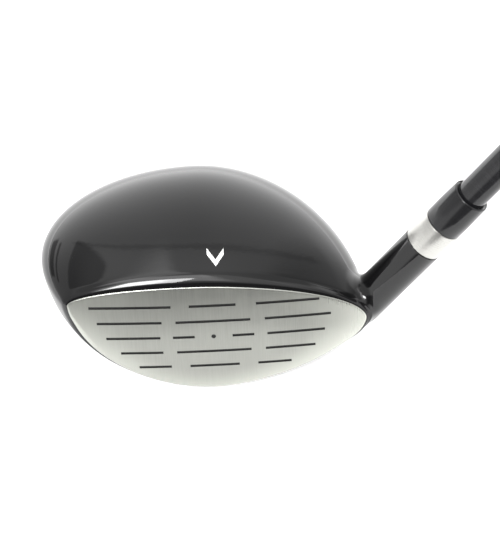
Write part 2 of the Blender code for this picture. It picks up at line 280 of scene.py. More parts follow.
@dataclass(frozen=True)
class BrushedFace:
    """Bare steel, brushed up and down across the face, lighter towards its outline as a painted
    highlight.
    """

    dark: Colour = (0.275, 0.280, 0.258)
    light: Colour = (0.325, 0.330, 0.305)
    # Lighter colour for the outline: a painted highlight on the rolled edges.
    rim: Colour = (0.56, 0.57, 0.52)
    roughness: float = 0.36

    def make(self) -> bpy.types.Material:
        """The material."""
        made, g = start_surface("brushed_face_steel")
        x, y, z = g.split(g.place())
        fine = g.noise(g.join(x * 9000.0, y * 120.0, z * 260.0), 1.0, 2.0)
        grain = g.noise(g.join(x * 2600.0, y * 60.0, z * 90.0), 1.0, 3.0)
        band = g.noise(g.join(x * 95.0, y * 4.0, z * 14.0), 1.0, 2.0)
        rub = g.noise(g.place(), 70.0, 3.0)
        share = fine * 0.25 + grain * 0.45 + band * 0.30
        tone = g.blend(share.ramp(0.25, 0.75), rgba(self.dark), rgba(self.light))
        # The stored rim share paints a highlight towards the outline and lowers the roughness
        # there as polish.
        edge = g.out(g.node("ShaderNodeAttribute", {"attribute_name": "rim"}, {}), "Fac")
        tone = g.blend(edge, tone, rgba(self.rim))
        rough = self.roughness + (grain - 0.5) * 0.12 + (rub - 0.5) * 0.08 - edge * 0.10
        normal = g.bump(fine * 0.5 + grain * 0.5, 0.22, 0.00006)
        return new_surface(
            "brushed_face_steel", {"Metallic": 1.0, "Anisotropic": 0.4},
            {"Base Color": tone, "Roughness": rough, "Normal": normal}, g, made)


@dataclass(frozen=True)
class SatinMetal:
    """Fine satin metal for the sole, ring and pin."""

    name: str = "satin_steel"
    colour: Colour = (0.52, 0.52, 0.51)
    roughness: float = 0.3
    lean: float = 0.0
    turned: bool = False

    def make(self) -> bpy.types.Material:
        """The material."""
        made, g = start_surface(self.name)
        spot = g.along_shaft(self.lean) if self.turned else g.place()
        x, y, z = g.split(spot)
        if self.turned:
            lines = g.noise(g.join(x * 60.0, y * 60.0, z * 9000.0), 1.0, 2.0)
        else:
            lines = g.noise(g.join(x * 150.0, y * 5200.0, z * 900.0), 1.0, 2.0)
        wear = g.noise(spot, 240.0, 3.0)
        low = tuple(0.88 * part for part in self.colour)
        tone = g.blend((lines * 0.6 + wear * 0.4).ramp(0.3, 0.7), rgba(low), rgba(self.colour))
        rough = self.roughness + (lines - 0.5) * 0.16 + (wear - 0.5) * 0.10
        normal = g.bump(lines, 0.16, 0.00005)
        return new_surface(
            self.name, {"Metallic": 1.0},
            {"Base Color": tone, "Roughness": rough, "Normal": normal}, g, made)


@dataclass(frozen=True)
class ShaftLacquer:
    """Dark lacquered carbon tube or turned plastic with lines round the axis."""

    name: str = "graphite_lacquer"
    colour: Colour = (0.008, 0.008, 0.009)
    accent: Colour = (0.014, 0.014, 0.016)
    roughness: float = 0.14
    lean: float = 0.0
    weave: float = 1.0
    ior: float = 1.46

    def make(self) -> bpy.types.Material:
        """The material."""
        made, g = start_surface(self.name)
        x, y, z = g.split(g.along_shaft(self.lean))
        rings = g.noise(g.join(x * 50.0, y * 50.0, z * 2600.0), 1.0, 2.0)
        streak = g.noise(g.join(x * 1800.0, y * 1800.0, z * 40.0), 1.0, 2.0)
        share = rings * (0.35 + 0.3 * self.weave) + streak * (0.65 - 0.3 * self.weave)
        tone = g.blend(share.ramp(0.3, 0.7), rgba(self.colour), rgba(self.accent))
        rough = self.roughness + (rings - 0.5) * 0.10
        normal = g.bump(rings * 0.7 + streak * 0.3, 0.04, 0.00003)
        return new_surface(
            self.name, {"Metallic": 0.0, "IOR": self.ior},
            {"Base Color": tone, "Roughness": rough, "Normal": normal}, g, made)


@dataclass(frozen=True)
class GrainFinish:
    """Matt moulded or dried stuff: rubber, glue, tape, groove fill."""

    name: str = "grip_rubber"
    colour: Colour = (0.018, 0.018, 0.019)
    accent: Colour = (0.032, 0.032, 0.033)
    roughness: float = 0.7
    grain: float = 1800.0
    height: float = 0.0001

    def make(self) -> bpy.types.Material:
        """The material."""
        made, g = start_surface(self.name)
        spot = g.place()
        fine = g.noise(spot, self.grain, 3.0, 0.6)
        worn = g.noise(spot, self.grain * 0.06, 2.0)
        tone = g.blend((fine * 0.5 + worn * 0.5).ramp(0.3, 0.7),
                       rgba(self.colour), rgba(self.accent))
        rough = self.roughness + (worn - 0.5) * 0.14 + (fine - 0.5) * 0.10
        normal = g.bump(fine, 0.35, self.height)
        return new_surface(
            self.name, {"Metallic": 0.0},
            {"Base Color": tone, "Roughness": rough, "Normal": normal}, g, made)


# ---------------------------------------------------------------- mesh helpers


class Cut(Enum):
    """What a tool does to a piece."""

    JOIN = "UNION"
    REMOVE = "DIFFERENCE"
    KEEP = "INTERSECT"


def mesh_from_rings(name: str, rings: list[np.ndarray]) -> bpy.types.Mesh:
    """Skin closed rings of world points.

    Args:
        name: the mesh's name.
        rings: arrays of shape (n, 3) in metres; a ring of one point is a pole.

    Returns:
        A closed mesh with its faces pointing out.
    """
    points = np.concatenate(rings)
    starts = np.cumsum([0] + [len(ring) for ring in rings])
    faces: list[tuple[int, ...]] = []
    for index in range(len(rings) - 1):
        a, b = starts[index], starts[index + 1]
        na, nb = len(rings[index]), len(rings[index + 1])
        count = max(na, nb)
        for i in range(count):
            j = (i + 1) % count
            if na == 1:
                faces.append((a, b + j, b + i))
            elif nb == 1:
                faces.append((a + i, a + j, b))
            else:
                faces.append((a + i, a + j, b + j, b + i))
    mesh = bpy.data.meshes.new(name)
    mesh.from_pydata(points.tolist(), [], faces)
    shape = bmesh.new()
    shape.from_mesh(mesh)
    bmesh.ops.recalc_face_normals(shape, faces=shape.faces)
    for face in shape.faces:
        face.smooth = True
    shape.to_mesh(mesh)
    shape.free()
    return mesh


def add_piece(name: str, mesh: bpy.types.Mesh, *finishes: bpy.types.Material) -> bpy.types.Object:
    """Link a mesh as an object with its materials."""
    made = bpy.data.objects.new(name, mesh)
    bpy.context.scene.collection.objects.link(made)
    if finishes:
        mesh.materials.clear()
    for finish in finishes:
        mesh.materials.append(finish)
    return made


def bake(piece: bpy.types.Object) -> bpy.types.Object:
    """Turn a piece's modifiers into plain mesh."""
    bpy.context.view_layer.update()
    graph = bpy.context.evaluated_depsgraph_get()
    mesh = bpy.data.meshes.new_from_object(piece.evaluated_get(graph))
    piece.modifiers.clear()
    old = piece.data
    piece.data = mesh
    mesh.name = piece.name
    bpy.data.meshes.remove(old)
    return piece


def combine(piece: bpy.types.Object, tool: bpy.types.Object, cut: Cut) -> None:
    """Apply one exact Boolean to a piece and remove the tool."""
    step = piece.modifiers.new("cut", "BOOLEAN")
    step.solver = "EXACT"
    step.operation = cut.value
    step.material_mode = "TRANSFER"
    step.object = tool
    bake(piece)
    bpy.data.objects.remove(tool, do_unlink=True)


def crease(piece: bpy.types.Object, degrees: float) -> None:
    """Shade a piece smooth but for its edges sharper than an angle."""
    piece.data.polygons.foreach_set("use_smooth", [True] * len(piece.data.polygons))
    shape = bmesh.new()
    shape.from_mesh(piece.data)
    for edge in shape.edges:
        flat = edge.calc_face_angle(0.0) < math.radians(degrees)
        edge.smooth = len(edge.link_faces) == 2 and flat
    shape.to_mesh(piece.data)
    shape.free()


def rounded(profile: Profile, radius: float, steps: int = 4) -> Profile:
    """Round the corners of a half profile.

    Args:
        profile: (radius, height) corners, in order.
        radius: size of the rounding, limited by the neighbouring sides.
        steps: points per corner.

    Returns:
        The profile with each inner corner replaced by a short curve.
    """
    made: Profile = [profile[0]]
    for before, corner, after in zip(profile, profile[1:], profile[2:]):
        p, c, n = (Vector((*point, 0.0)) for point in (before, corner, after))
        reach = min(radius, 0.45 * (p - c).length, 0.45 * (n - c).length)
        start = c + (p - c).normalized() * reach
        end = c + (n - c).normalized() * reach
        for step in range(steps + 1):
            share = step / steps
            point = start.lerp(c, share).lerp(c.lerp(end, share), share)
            made.append((point.x, point.y))
    made.append(profile[-1])
    return made


# ---------------------------------------------------------------- shared geometry


@dataclass(frozen=True)
class ShaftLine:
    """The shaft's axis: where it passes the face's height and how it leans."""

    lie: float = math.radians(57.3)
    x: float = 48.0
    y: float = 11.0
    face_forward: float = 14.0
    face_height: float = 21.2
    club_length: float = 1092.0

    @property
    def lean(self) -> float:
        """Turn about +Y that lays local Z on the shaft."""
        return math.pi / 2.0 - self.lie

    @property
    def butt(self) -> float:
        """Distance of the butt end along the axis."""
        return self.club_length - self.face_height / math.sin(self.lie)

    def matrix(self) -> Matrix:
        """Placement of things drawn round local Z, in metres."""
        origin = Vector((self.x, self.y - self.face_forward, self.face_height)) * MM
        return Matrix.Translation(origin) @ Matrix.Rotation(self.lean, 4, "Y")

    def turned(self, name: str, profile: Profile, segments: int = 96) -> bpy.types.Mesh:
        """Spin a half profile about the axis.

        Args:
            name: the mesh's name.
            profile: (radius, height) in millimetres; a profile that starts off the axis is
                closed into a ring, one that starts and ends on it becomes a solid.
            segments: how many sides.

        Returns:
            The mesh in place.
        """
        closed = profile[0][0] > 1e-6
        rows = profile + [profile[0]] if closed else profile
        angles = np.linspace(0.0, math.tau, segments, endpoint=False)
        rings = []
        for radius, height in rows:
            if radius < 1e-6:
                rings.append(np.array([[0.0, 0.0, height]]))
            else:
                rings.append(np.stack([
                    radius * np.cos(angles), radius * np.sin(angles),
                    np.full(segments, height)], 1))
        mesh = mesh_from_rings(name, [ring * MM for ring in rings])
        shape = bmesh.new()
        shape.from_mesh(mesh)
        bmesh.ops.remove_doubles(shape, verts=shape.verts, dist=1e-7)
        bmesh.ops.recalc_face_normals(shape, faces=shape.faces)
        shape.to_mesh(mesh)
        shape.free()
        mesh.transform(self.matrix())
        return mesh


@dataclass(frozen=True)
class HeadForm:
    """Outer shape of the head, in millimetres from the middle of the face."""

    depth: float = 70.7
    loft: float = math.radians(16.0)
    bulge: float = 600.0
    roll: float = 280.0
    toe: tuple[float, float] = (-44.8, 11.5)
    top: tuple[float, float] = (-6.0, 17.45)
    heel: tuple[float, float] = (48.2, 2.5)
    bottom: tuple[float, float] = (0.0, -20.8)
    rear: tuple[float, float] = (-1.0, -8.7)
    front_powers: tuple[float, ...] = (2.0, 1.83, 1.65, 1.88)
    rear_powers: tuple[float, ...] = (2.04, 1.85, 2.0, 2.0)
    toe_swell: tuple[float, float] = (1.08, 1.33)
    heel_swell: tuple[float, float] = (0.14, 1.78)
    crown_swell: tuple[float, float] = (0.57, 3.1)
    sole_swell: tuple[float, float] = (0.12, 2.4)
    topline_radius: float = 2.4
    side_radius: float = 0.9
    sole_radius: float = 0.5
    line: ShaftLine = field(default_factory=ShaftLine)

    def world(self, points: np.ndarray) -> np.ndarray:
        """Points from the middle of the face to world metres."""
        return (points + np.array([0.0, -self.line.face_forward, self.line.face_height])) * MM

    def local(self, points: np.ndarray) -> np.ndarray:
        """World metres to millimetres from the middle of the face."""
        return points / MM - np.array([0.0, -self.line.face_forward, self.line.face_height])

    def sag(self, x: np.ndarray, z: np.ndarray) -> np.ndarray:
        """How far the curved, lofted face lies behind its own middle."""
        round_part = x * x / (2.0 * self.bulge) + z * z / (2.0 * self.roll)
        return z * math.tan(self.loft) + round_part / math.cos(self.loft)

    def brow(self, outline: np.ndarray) -> np.ndarray:
        """1 along the topline and round the heel, 0 below, for points of the face's outline."""
        height = (outline[:, 2] - self.bottom[1]) / (self.top[1] - self.bottom[1])
        along = np.clip((outline[:, 0] + 20.0) / 68.0, 0.0, 1.0)
        return eased(np.clip((height - 0.62 + 0.35 * along) / 0.25, 0.0, 1.0))

    @staticmethod
    def swell(position: float, growth: float, power: float) -> float:
        """How far a side stands out between the face (0) and the back (1)."""
        return (1.0 + growth * position) * math.sqrt(max(0.0, 1.0 - position**power))

    @staticmethod
    def rounding(behind: float, radius: float) -> float:
        """Outward growth of the edge just behind the face."""
        left = min(1.0, max(0.0, 1.0 - behind / (1.3 * radius)))
        return radius * math.sqrt(1.0 - left * left)

    def section(self, behind: float, inset: float = 0.0, grown: bool = True,
                count: int = 240) -> np.ndarray:
        """Closed section of the head.

        Args:
            behind: distance behind the face.
            inset: how far inside the outer skin.
            grown: whether the edge behind the face is rounded out.
            count: points round the section.

        Returns:
            Points of shape (count, 3), from the toe over the top to the heel and back.
        """
        reach = self.depth - inset
        position = min(1.0, max(0.0, behind / reach))
        level = math.sqrt(max(0.0, 1.0 - position))
        middle = math.sqrt(max(0.0, 1.0 - position * position))
        fade = math.sqrt(max(0.0, 1.0 - position**1.3)) if grown else 0.0
        rear_x, rear_z = self.rear

        def from_rear(rear: float, value: float, share: float) -> float:
            """Mix from the back's middle towards a side."""
            return rear + (value - rear) * share

        top = from_rear(rear_z, self.top[1] - inset, self.swell(position, *self.crown_swell))
        low = from_rear(rear_z, self.bottom[1] + inset, self.swell(position, *self.sole_swell))
        toe = from_rear(rear_x, self.toe[0] + inset, self.swell(position, *self.toe_swell))
        heel = from_rear(rear_x, self.heel[0] - inset, self.swell(position, *self.heel_swell))
        top += self.rounding(behind, self.topline_radius) * fade
        low -= self.rounding(behind, self.sole_radius) * fade
        toe -= self.rounding(behind, self.side_radius) * fade
        heel += self.rounding(behind, self.sole_radius) * fade
        toe_z = from_rear(rear_z, self.toe[1], level)
        heel_z = from_rear(rear_z, self.heel[1], level)
        top_x = from_rear(rear_x, self.top[0], middle)
        low_x = from_rear(rear_x, self.bottom[0], middle)
        angle = np.linspace(0.0, math.tau, count, endpoint=False)
        quarter = np.minimum(3, (angle / (math.pi / 2.0) + 1e-9).astype(int))
        powers = np.array(self.front_powers) * (1.0 - position)
        powers = (powers + np.array(self.rear_powers) * position)[quarter]
        centre_x = np.array([top_x, top_x, low_x, low_x])[quarter]
        centre_z = np.array([toe_z, heel_z, heel_z, toe_z])[quarter]
        far_x = np.array([toe, heel, heel, toe])[quarter]
        far_z = np.array([top, top, low, low])[quarter]
        x = centre_x + (far_x - centre_x) * np.abs(np.cos(angle)) ** (2.0 / powers)
        z = centre_z + (far_z - centre_z) * np.abs(np.sin(angle)) ** (2.0 / powers)
        y = behind + self.sag(x, z) * (1.0 - position) ** 1.5
        return np.stack([x, y, z], 1)

    def outer_rings(self, start: float, inset: float, count: int, rows: int) -> list[np.ndarray]:
        """Sections from a distance behind the face to the closed back, in metres."""
        reach = self.depth - inset
        first = math.asin(max(0.0, start) / reach)
        rings = []
        for step in range(rows):
            share = step / rows
            angle = first + (math.pi / 2.0 - first) * share
            rings.append(self.world(
                self.section(reach * math.sin(angle), inset, inset == 0.0, count)))
        rings.append(self.world(np.array([[self.rear[0], reach, self.rear[1]]])))
        return rings


def eased(share: Any) -> Any:
    """A number or array from 0 to 1, eased in and out."""
    return share * share * (3.0 - 2.0 * share)


def plan_prism(form: HeadForm, name: str, centre: tuple[float, float], half: tuple[float, float],
               low: float, high: float, power: float = 2.3) -> bpy.types.Object:
    """Upright tool with a superelliptic plan, in millimetres from the face's middle."""
    angle = np.linspace(0.0, math.tau, 128, endpoint=False) + 0.01
    cosine, sine = np.cos(angle), np.sin(angle)
    x = centre[0] + half[0] * np.sign(cosine) * np.abs(cosine) ** (2.0 / power)
    y = centre[1] + half[1] * np.sign(sine) * np.abs(sine) ** (2.0 / power)
    rings = [np.array([[centre[0], centre[1], low]])]
    rings += [np.stack([x, y, np.full(len(x), height)], 1) for height in (low, high)]
    rings.append(np.array([[centre[0], centre[1], high]]))
    return add_piece(name, mesh_from_rings(name, [form.world(ring) for ring in rings]))


# ---------------------------------------------------------------- the head


@dataclass
class PaintedHead:
    """Black shell of crown, skirt and hosel, seamless under its paint."""

    form: HeadForm
    around: int = 240
    rows: int = 96
    pocket: float = 2.5
    pocket_gap: float = 0.12
    push_low: float = 2.0
    push_top: float = 0.15
    push_reach: float = 9.0
    hosel_radius: float = 6.3
    hosel_top: float = 31.7
    fillet: float = 5.0
    fine_reach: tuple[float, float] = (15.0, 24.0)
    blend_reach: tuple[float, float] = (17.0, 27.0)
    rim_band: float = 1.6
    sole_centre: tuple[float, float] = (-2.0, 22.5)
    sole_half: tuple[float, float] = (25.15, 16.65)
    sole_deep: float = 16.0
    sharp: float = 38.0

    def skin(self) -> bpy.types.Object:
        """The head without hosel: outer skin, rim and a pocket behind the face plate."""
        form = self.form
        outline = form.section(0.0, 0.0, False, self.around)
        push = self.push_low + (self.push_top - self.push_low) * form.brow(outline)
        reach = 1.3 * form.topline_radius
        near = [reach * (1.0 - math.cos(turn)) for turn in np.linspace(0.0, math.pi / 2.0, 11)]
        first = math.asin(near[-1] / form.depth)
        far = [form.depth * math.sin(first + (math.pi / 2.0 - first) * step / self.rows)
               for step in range(1, self.rows)]
        support = np.hypot(outline[:, 0], outline[:, 2])
        inner = outline.copy()
        inner[:, [0, 2]] *= (1.0 - self.pocket_gap / support)[:, None]
        inner[:, 1] = form.sag(inner[:, 0], inner[:, 2])
        rings = [np.array([[0.0, self.pocket, 0.0]])]
        for share in (0.25, 0.5, 0.75, 0.9):
            ring = inner * share
            ring[:, 1] = form.sag(ring[:, 0], ring[:, 2]) + self.pocket
            rings.append(ring)
        rings.append(inner + np.array([0.0, self.pocket, 0.0]))
        rings.append(inner + np.stack([push * 0.0, push, push * 0.0], 1))
        for behind in near + far:
            ring = form.section(behind, 0.0, True, self.around)
            ring[:, 1] += push * max(0.0, 1.0 - behind / self.push_reach) ** 2
            rings.append(ring)
        rings.append(np.array([[form.rear[0], form.depth, form.rear[1]]]))
        return add_piece("head_shell", mesh_from_rings(
            "head_shell", [form.world(ring) for ring in rings]))

    def refine(self, piece: bpy.types.Object) -> None:
        """Split the faces near the hosel so that its root can be blended in."""
        axis = self.form.line.matrix().inverted()
        wide, high = (reach * MM for reach in self.fine_reach)
        shape = bmesh.new()
        shape.from_mesh(piece.data)
        close = set()
        for vert in shape.verts:
            spot = axis @ vert.co
            if math.hypot(spot.x, spot.y) < wide and abs(spot.z) < high:
                close.add(vert)
        edges = [edge for edge in shape.edges if all(vert in close for vert in edge.verts)]
        bmesh.ops.subdivide_edges(shape, edges=edges, cuts=1, use_grid_fill=True)
        shape.to_mesh(piece.data)
        shape.free()

    def post(self) -> bpy.types.Object:
        """The hosel as a plain post with a domed root."""
        radius = self.hosel_radius
        profile: Profile = [(0.0, self.hosel_top), (radius - 0.25, self.hosel_top),
                            (radius, self.hosel_top - 0.25)]
        profile += [(radius, height) for height in np.arange(self.hosel_top - 1.0, 0.3, -0.7)]
        for turn in np.linspace(0.0, math.pi / 2.0, 13)[:-1]:
            profile.append((radius * math.cos(turn), -radius * math.sin(turn)))
        profile.append((0.0, -radius))
        return add_piece("post", self.form.line.turned("post", profile, 112))

    def blend_root(self, piece: bpy.types.Object, skin: BVHTree) -> None:
        """Move the points round the hosel's root onto a smooth blend of post and skin.

        Args:
            piece: the joined mesh.
            skin: search tree of the head's skin alone.
        """
        line = self.form.line
        start = line.matrix() @ Vector((0.0, 0.0, 0.0))
        along = (line.matrix().to_3x3() @ Vector((0.0, 0.0, 1.0))).normalized()
        radius, soft = self.hosel_radius * MM, self.fillet * MM
        wide, high = (reach * MM for reach in self.blend_reach)
        for vert in piece.data.vertices:
            spot = vert.co.copy()
            reach = max(0.0, (spot - start).dot(along))
            if (spot - start - along * reach).length > wide or reach > high:
                continue
            local = self.form.local(np.array([spot[:]]))[0]
            behind = local[1] - float(self.form.sag(local[0], local[2]))
            keep = eased(min(1.0, max(0.0, behind / self.rim_band)))
            if keep <= 0.0:
                continue
            for _ in range(4):
                hit, normal, _, gap = skin.find_nearest(spot)
                offset = spot - hit
                side = 1.0 if offset.dot(normal) >= 0.0 else -1.0
                first = side * gap
                slope = offset * (side / gap) if gap > 1e-6 else normal
                reach = max(0.0, (spot - start).dot(along))
                away = spot - start - along * reach
                second = away.length - radius
                share = min(1.0, max(0.0, 0.5 + 0.5 * (second - first) / soft))
                value = second * (1.0 - share) + first * share - soft * share * (1.0 - share)
                grade = away.normalized() * (1.0 - share) + slope * share
                spot -= grade * (value / max(0.2, grade.length_squared))
            vert.co = vert.co.lerp(spot, keep)

    def build(self, paint: bpy.types.Material) -> bpy.types.Object:
        """Make the shell.

        Args:
            paint: the enamel.

        Returns:
            The finished piece.
        """
        shell = self.skin()
        shape = bmesh.new()
        shape.from_mesh(shell.data)
        skin = BVHTree.FromBMesh(shape)
        shape.free()
        self.refine(shell)
        combine(shell, self.post(), Cut.JOIN)
        self.blend_root(shell, skin)
        low = self.form.bottom[1]
        combine(shell, plan_prism(self.form, "sole_pocket", self.sole_centre, self.sole_half,
                                  low - self.sole_deep, low * 0.5), Cut.REMOVE)
        trim_ground(shell)
        shell.data.materials.clear()
        shell.data.materials.append(paint)
        crease(shell, self.sharp)
        return shell


def trim_ground(piece: bpy.types.Object) -> None:
    """Cut a piece flat at the ground."""
    shape = bmesh.new()
    bmesh.ops.create_cube(shape, size=1.0, matrix=Matrix.Translation((0.0, 0.02, -0.01))
                          @ Matrix.Diagonal((0.4, 0.4, 0.02, 1.0)))
    mesh = bpy.data.meshes.new("ground")
    shape.to_mesh(mesh)
    shape.free()
    combine(piece, add_piece("ground", mesh), Cut.REMOVE)


@dataclass
class ScoreLines:
    """Rows of grooves laid out by a node tree from points that carry each groove's length."""

    form: HeadForm
    pitch: float = 5.6
    offset: float = 0.25
    width: float = 0.9
    depth: float = 0.35
    dot_radius: float = 0.72
    rows: tuple[tuple[int, tuple[tuple[float, float], ...]], ...] = (
        (2, ((-38.1, -12.8), (-7.2, 7.2), (13.5, 33.2))),
        (1, ((-36.0, -15.9), (-11.6, 11.6), (16.1, 36.8))),
        (0, ((-33.5, -16.6), (-12.7, -5.9), (5.9, 12.7), (16.8, 34.9))),
        (-1, ((-29.3, -16.0), (-11.7, 11.7), (16.2, 31.9))),
        (-2, ((-23.9, -13.7), (-7.8, 7.8), (13.7, 24.3))),
    )

    def points(self) -> bpy.types.Mesh:
        """One point per groove with its length and turn stored on it."""
        form = self.form
        spots, spans, turns = [], [], []
        for row, lines in self.rows:
            z = (row * self.pitch + self.offset) * math.cos(form.loft)
            for start, end in lines:
                x = 0.5 * (start + end)
                spots.append((x, float(form.sag(np.float64(x), np.float64(z))), z))
                spans.append((end - start) * MM)
                turns.append((-(form.loft + z / form.roll), 0.0, x / form.bulge))
        mesh = bpy.data.meshes.new("score_points")
        mesh.from_pydata(form.world(np.array(spots)).tolist(), [], [])
        length = mesh.attributes.new("span", "FLOAT", "POINT")
        length.data.foreach_set("value", spans)
        turn = mesh.attributes.new("turn", "FLOAT_VECTOR", "POINT")
        turn.data.foreach_set("vector", [part for parts in turns for part in parts])
        return mesh

    def cutter(self, fill: bpy.types.Material) -> bpy.types.Object:
        """All grooves and the centre dot as one tool."""
        tool = add_piece("score_tool", self.points())
        tree = stamp_tree("score_lines", "GeometryNodeMeshCube", {"Size": (1.0, 1.0, 1.0)},
                          ("span", "Depth", "Width"), fill)
        run_tree(tool, tree, {"Width": self.width * MM, "Depth": 2.0 * self.depth * MM})
        shape = bmesh.new()
        shape.from_mesh(tool.data)
        centre = self.form.world(np.array([[0.0, 0.0, self.offset]]))[0]
        lean = Matrix.Rotation(math.pi / 2.0 - self.form.loft, 4, "X")
        bmesh.ops.create_cone(
            shape, cap_ends=True, segments=40, radius1=self.dot_radius * MM,
            radius2=self.dot_radius * MM, depth=2.0 * self.depth * MM,
            matrix=Matrix.Translation(centre) @ lean)
        for face in shape.faces:
            face.material_index = 0
        shape.to_mesh(tool.data)
        shape.free()
        tool.data.materials.clear()
        tool.data.materials.append(fill)
        return tool


def stamp_tree(name: str, kind: str, shape: dict[str, Any], sizes: tuple[str, ...],
               finish: bpy.types.Material, smooth: bool = False) -> bpy.types.NodeTree:
    """Node tree that puts a small mesh, turned and sized, on every point.

    Args:
        name: the tree's name.
        kind: type of the node that makes the small mesh.
        shape: that node's inputs.
        sizes: what sets each side: an input with a capital letter, or a stored attribute.
        finish: the small meshes' material.
        smooth: whether they are shaded smooth.

    Returns:
        A tree that reads each point's turn from the attribute of that name.
    """
    tree = bpy.data.node_groups.new(name, "GeometryNodeTree")
    tree.interface.new_socket("Geometry", in_out="INPUT", socket_type="NodeSocketGeometry")
    for size in sizes:
        if size[0].isupper():
            tree.interface.new_socket(size, in_out="INPUT", socket_type="NodeSocketFloat")
    tree.interface.new_socket("Geometry", in_out="OUTPUT", socket_type="NodeSocketGeometry")
    add, link = tree.nodes.new, tree.links.new
    entry, leave = add("NodeGroupInput"), add("NodeGroupOutput")

    def stored(attribute: str, data_type: str) -> bpy.types.NodeSocket:
        """Output that gives an attribute of the points."""
        node = add("GeometryNodeInputNamedAttribute")
        node.data_type = data_type
        node.inputs["Name"].default_value = attribute
        return node.outputs["Attribute"]

    stamp = add(kind)
    for key, value in shape.items():
        stamp.inputs[key].default_value = value
    scale, spin = add("ShaderNodeCombineXYZ"), add("FunctionNodeEulerToRotation")
    put, real = add("GeometryNodeInstanceOnPoints"), add("GeometryNodeRealizeInstances")
    soft, coat = add("GeometryNodeSetShadeSmooth"), add("GeometryNodeSetMaterial")
    soft.inputs["Shade Smooth"].default_value = smooth
    coat.inputs["Material"].default_value = finish
    for axis, size in zip("XYZ", sizes):
        source = entry.outputs[size] if size[0].isupper() else stored(size, "FLOAT")
        link(source, scale.inputs[axis])
    link(entry.outputs["Geometry"], put.inputs["Points"])
    link(stamp.outputs["Mesh"], put.inputs["Instance"])
    link(scale.outputs["Vector"], put.inputs["Scale"])
    link(stored("turn", "FLOAT_VECTOR"), spin.inputs["Euler"])
    link(spin.outputs["Rotation"], put.inputs["Rotation"])
    link(put.outputs["Instances"], real.inputs["Geometry"])
    link(real.outputs["Geometry"], soft.inputs["Geometry"])
    link(soft.outputs["Geometry"], coat.inputs["Geometry"])
    link(coat.outputs["Geometry"], leave.inputs["Geometry"])
    return tree


def run_tree(piece: bpy.types.Object, tree: bpy.types.NodeTree, values: dict[str, Any]) -> None:
    """Run a geometry tree on a piece and keep the plain mesh.

    Args:
        piece: the object whose mesh goes in.
        tree: the node tree.
        values: the tree's named inputs.
    """
    step = piece.modifiers.new(tree.name, "NODES")
    step.node_group = tree
    for item in tree.interface.items_tree:
        if item.item_type == "SOCKET" and item.in_out == "INPUT" and item.name in values:
            step[item.identifier] = values[item.name]
    bake(piece)


@dataclass
class SteelFace:
    """Curved steel plate with rolled lower edges, grooves and centre dot."""

    form: HeadForm
    lines: ScoreLines
    around: int = 240
    thickness: float = 2.4
    gap: float = 0.06
    roll_low: float = 2.6
    roll_top: float = 0.55
    plain: float = 0.60
    rim_power: float = 1.5
    sharp: float = 40.0

    def rings(self) -> list[np.ndarray]:
        """Sections of the plate from the middle of its front to that of its back."""
        form = self.form
        outline = form.section(0.0, 0.0, False, self.around)
        support = np.hypot(outline[:, 0], outline[:, 2])
        outline[:, [0, 2]] *= (1.0 - self.gap / support)[:, None]
        flat = outline[:, [0, 2]]
        ahead = np.roll(flat, -1, 0) - np.roll(flat, 1, 0)
        normal = np.stack([ahead[:, 1], -ahead[:, 0]], 1)
        normal /= np.linalg.norm(normal, axis=1)[:, None]
        width = np.abs((flat * normal).sum(1))
        edge = self.roll_low + (self.roll_top - self.roll_low) * form.brow(outline)
        shares = np.concatenate([np.linspace(0.0, 0.84, 22)[1:],
                                 1.0 - 0.16 * (1.0 - np.linspace(0.0, 1.0, 26)[1:]) ** 1.6])
        made = [np.array([[0.0, 0.0, 0.0]])]
        for share in shares:
            ring = outline * share
            inside = np.clip(edge - (1.0 - share) * width, 0.0, None)
            drop = edge - np.sqrt(np.clip(edge * edge - inside * inside, 0.0, None))
            ring[:, 1] = form.sag(ring[:, 0], ring[:, 2]) + np.minimum(drop, edge * 0.92)
            made.append(ring)
        back = outline.copy()
        back[:, 1] = form.sag(back[:, 0], back[:, 2]) + np.maximum(self.thickness, edge * 0.93)
        made.append(back)
        for share in (0.8, 0.4):
            ring = outline * share
            ring[:, 1] = form.sag(ring[:, 0], ring[:, 2]) + self.thickness
            made.append(ring)
        made.append(np.array([[0.0, self.thickness, 0.0]]))
        return [form.world(ring) for ring in made]

    def build(self, steel: bpy.types.Material, fill: bpy.types.Material) -> bpy.types.Object:
        """Make the plate.

        Args:
            steel: the brushed face.
            fill: what the grooves are filled with.

        Returns:
            The finished piece.
        """
        plate = add_piece("steel_face", mesh_from_rings("steel_face", self.rings()), steel)
        combine(plate, self.lines.cutter(fill), Cut.REMOVE)
        crease(plate, self.sharp)
        self.mark_rim_highlight_and_polish(plate)
        return plate

    def mark_rim_highlight_and_polish(self, plate: bpy.types.Object) -> None:
        """Store on every point its share of painted highlight and polish: towards the outline,
        stronger towards the heel, but not on top.
        """
        count = len(plate.data.vertices)
        spots = np.empty(count * 3)
        plate.data.vertices.foreach_get("co", spots)
        local = self.form.local(spots.reshape(-1, 3))
        outline = self.form.section(0.0, 0.0, False, 720)
        angle = np.arctan2(outline[:, 2], outline[:, 0])
        order = np.argsort(angle)
        turn = np.arctan2(local[:, 2], local[:, 0])
        size = np.interp(turn, angle[order], np.hypot(outline[:, 0], outline[:, 2])[order],
                         period=math.tau)
        near = np.clip(np.hypot(local[:, 0], local[:, 2]) / size - self.plain, 0.0, None)
        near = np.clip(near / (1.0 - self.plain), 0.0, 1.0) ** self.rim_power
        # Painted highlight: none on top, and stronger at the heel than at the toe.
        top = np.clip((np.sin(turn) - 0.05) / 0.6, 0.0, 1.0)
        rim = plate.data.attributes.new("rim", "FLOAT", "POINT")
        rim.data.foreach_set("value", near * (1.0 - top) * (0.8 + 0.2 * np.cos(turn)))


